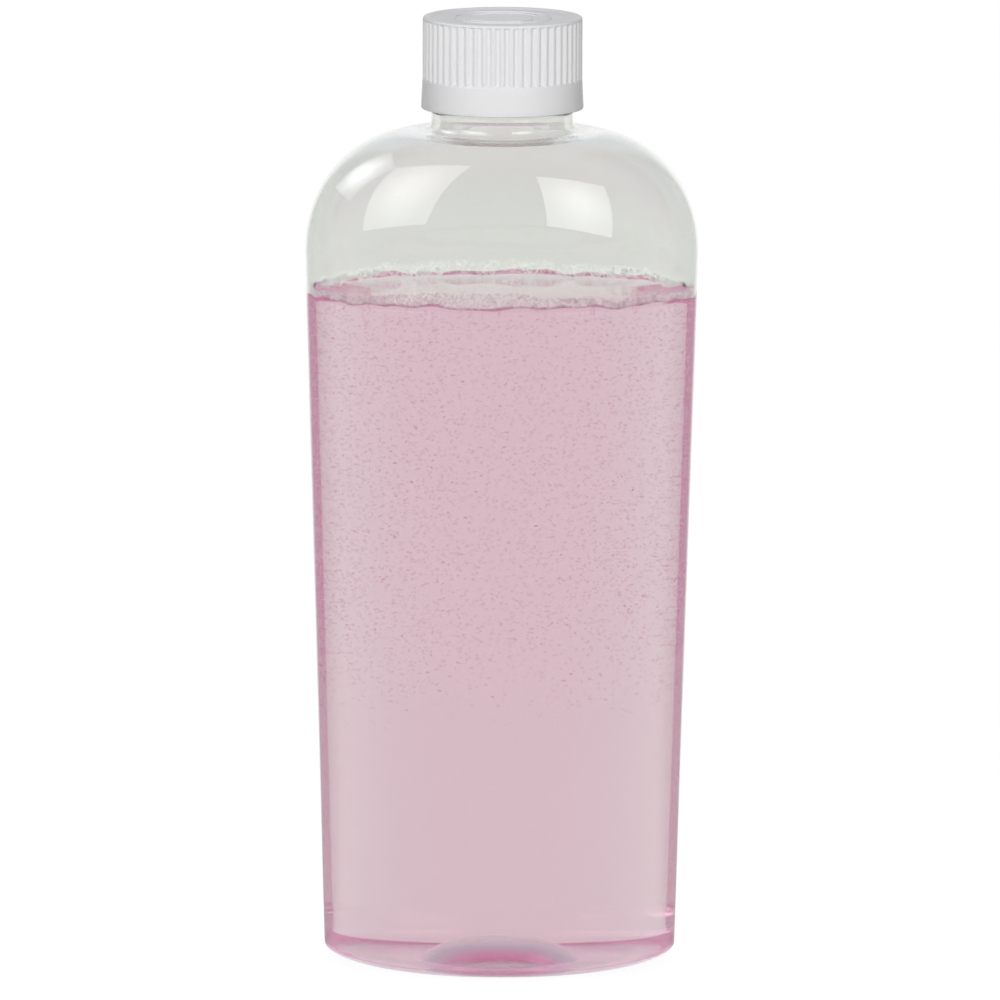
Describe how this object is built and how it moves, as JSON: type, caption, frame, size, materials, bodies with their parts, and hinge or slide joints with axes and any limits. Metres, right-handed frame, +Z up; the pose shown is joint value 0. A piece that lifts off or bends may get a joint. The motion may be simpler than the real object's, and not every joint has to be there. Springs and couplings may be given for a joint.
{
  "type": "plastic bottle",
  "caption": "Clear oval bottle with a round shoulder, filled with pink liquid and closed by a white ribbed cap that is pushed down and turned to open.",
  "frame": {"origin": "middle of the base, on the surface that the bottle stands on", "axes": "+Z up along the neck and the cap, X between the narrow ends of the oval, -Y out of the broad face that the picture shows"},
  "size_m": [0.0836, 0.0574, 0.2032],
  "materials": {
    "clear_plastic": "clear, glossy blown polyester",
    "pink_liquid": "thin clear pink liquid with fine bubbles, and foam round the edge of its surface",
    "white_cap": "satin moulded polypropylene, white",
    "inner_cap": "satin moulded polypropylene, white",
    "liner_foam": "dull foamed polyethylene, white"
  },
  "bodies": {
    "bottle": {"bottle": "clear_plastic", "liquid": "pink_liquid"},
    "liner": {"liner": "liner_foam"},
    "inner_cap": {"inner_cap": "inner_cap"},
    "outer_cap": {"outer_cap": "white_cap"}
  },
  "joints": [
    {"name": "cap_lift", "type": "slide", "parent": "bottle", "child": "liner", "axis": [0, 0, 1], "range_m": [0, 0.0128]},
    {"name": "cap_turn", "type": "hinge", "parent": "liner", "child": "inner_cap", "pos_m": [0, 0, 0.198], "axis": [0, 0, 1], "range_deg": [0, 1080]},
    {"name": "push_down", "type": "slide", "parent": "inner_cap", "child": "outer_cap", "axis": [0, 0, -1], "range_m": [0, 0.0013], "stiffness_N_per_m": 3000}
  ],
  "couplings": [
    {"joint": "cap_lift", "follows": "cap_turn", "m_per_rad": 0.00067375}
  ]
}
